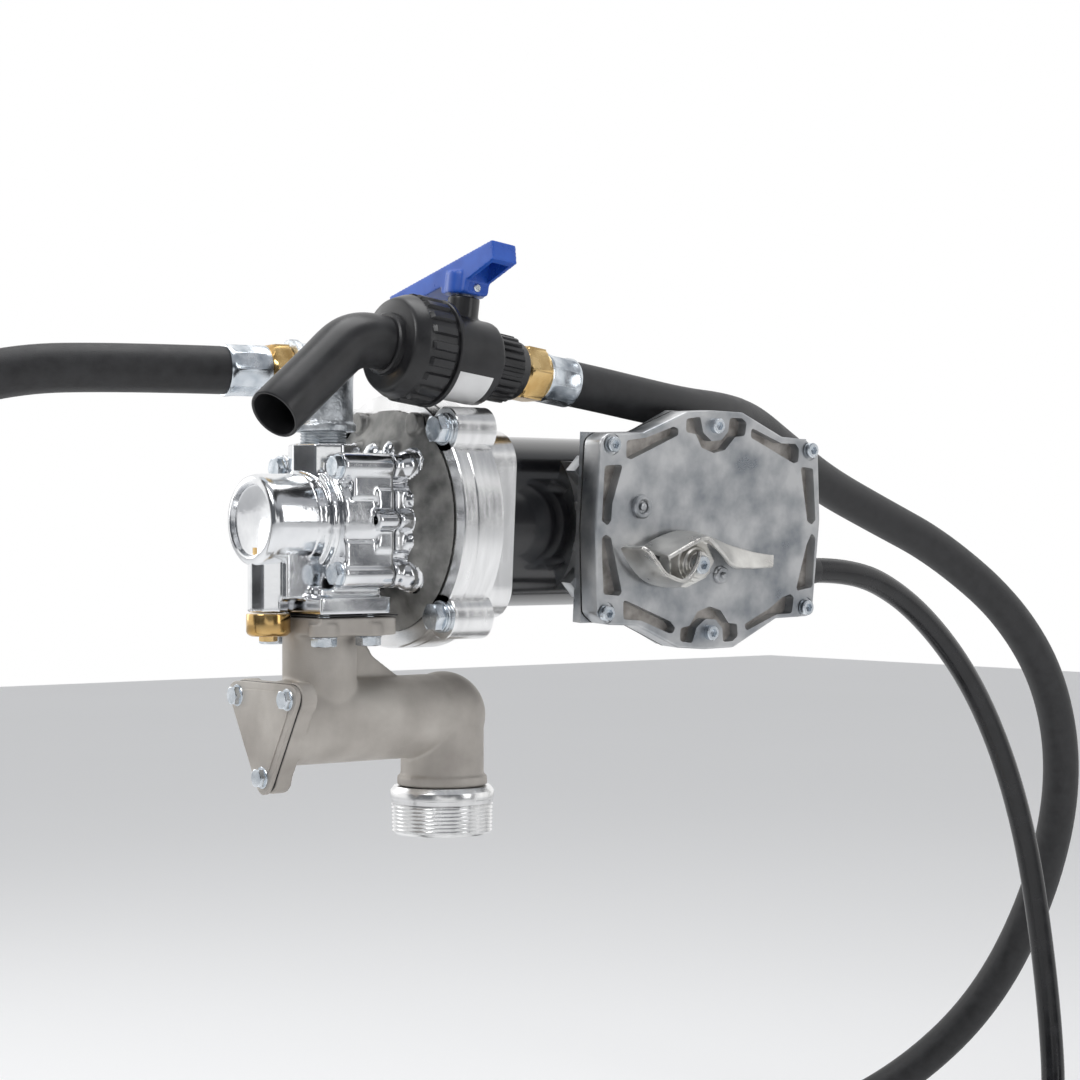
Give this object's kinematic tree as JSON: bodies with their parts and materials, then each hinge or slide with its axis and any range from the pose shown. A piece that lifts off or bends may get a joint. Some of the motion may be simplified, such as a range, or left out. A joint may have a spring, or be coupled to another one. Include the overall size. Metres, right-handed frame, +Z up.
{
  "type": "electric fuel transfer pump",
  "caption": "Tank-mounted electric rotary vane transfer pump with strainer inlet, lever switch box, delivery hose, ball-valve nozzle and power cable.",
  "frame": {"origin": "centre of the lower end of the tank thread", "axes": "+Z up along the tank thread's axis, +X along the motor's axis from the pump head to the motor, the switch box faces -Y"},
  "size_m": [1.081, 0.3244, 0.6419],
  "materials": {
    "cast_grey": "bead-blasted sand casting",
    "polished": "polished die casting",
    "rough_cast": "as-cast, grey",
    "machined": "machined, bright",
    "cover_cast": "tumbled die casting, mottled",
    "zinc_steel": "bright zinc plate",
    "steel": "plain ground steel",
    "galvanised": "hot-dip galvanised malleable iron",
    "brass": "turned",
    "motor_black": "gloss black paint",
    "black_plastic": "moulded polypropylene",
    "blue_plastic": "moulded",
    "hose_rubber": "matt extruded",
    "cable_black": "gloss extruded jacket",
    "wire_pvc": "red and black insulation",
    "gasket": "matt",
    "magnet": "ferrite",
    "lever_cast": "tumbled die casting",
    "seal_ptfe": "smooth"
  },
  "bodies": {
    "pump": {"tank_adapter": "machined", "inlet_casting": "cast_grey", "strainer_cover": "cast_grey", "strainer_gasket": "gasket", "strainer_screws": "zinc_steel", "strainer_screen": "steel", "inlet_bolts": "zinc_steel", "inlet_gasket": "gasket", "pump_head": "polished", "pump_adapter": "rough_cast", "motor_flange": "machined", "head_bolts": "zinc_steel", "flange_washers": "zinc_steel", "flange_bolts": "zinc_steel", "shaft_bush": "brass", "shaft_seal": "gasket", "relief_cap": "brass", "relief_spring": "steel", "front_end_bell": "cover_cast", "motor_can": "motor_black", "rear_end_bell": "motor_black", "magnets": "magnet", "motor_bearings": "steel", "brushes": "magnet", "brush_holder": "black_plastic", "motor_bolts": "zinc_steel", "switch_housing": "cover_cast", "cover_gasket": "gasket", "switch_cover": "cover_cast", "cover_screws": "zinc_steel", "cover_plug": "zinc_steel", "switch": "black_plastic", "cable_gland": "black_plastic", "outlet_elbow": "galvanised", "outlet_swivel": "brass", "outlet_ferrule": "zinc_steel", "nozzle_spout": "black_plastic", "union_nut": "black_plastic", "valve_body": "black_plastic", "valve_end_nut": "black_plastic", "nozzle_swivel": "brass", "nozzle_ferrule": "zinc_steel", "hose": "hose_rubber", "cable_lead": "cable_black", "cable_tail": "cable_black", "cable_coil": "cable_black", "cable_wires": "wire_pvc", "ring_terminals": "zinc_steel"},
    "rotor": {"rotor": "steel", "vanes": "seal_ptfe", "shaft": "steel", "armature": "steel"},
    "valve": {"valve_handle": "blue_plastic", "handle_pin": "zinc_steel", "valve_stem": "black_plastic", "valve_ball": "seal_ptfe"},
    "lever": {"switch_lever": "lever_cast", "lever_spindle": "steel", "lever_screw": "zinc_steel"},
    "poppet": {"relief_poppet": "steel"}
  },
  "joints": [
    {"name": "rotor_spin", "type": "hinge", "parent": "pump", "child": "rotor", "pos_m": [0, 0, 0.184], "axis": [1, 0, 0], "continuous": true},
    {"name": "valve_turn", "type": "hinge", "parent": "pump", "child": "valve", "pos_m": [-0.02284, -0.046, 0.27629], "axis": [0.1302, 0, 0.9915], "range_deg": [0, 90]},
    {"name": "switch_turn", "type": "hinge", "parent": "pump", "child": "lever", "pos_m": [0.116, -0.08864, 0.15904], "axis": [0, -0.9981, -0.061], "range_deg": [-20, 0]},
    {"name": "relief_open", "type": "slide", "parent": "pump", "child": "poppet", "axis": [0, 0, -1], "range_m": [0, 0.006], "stiffness_N_per_m": 1500, "springref_m": -0.002, "deforming": ["relief_spring"]}
  ]
}
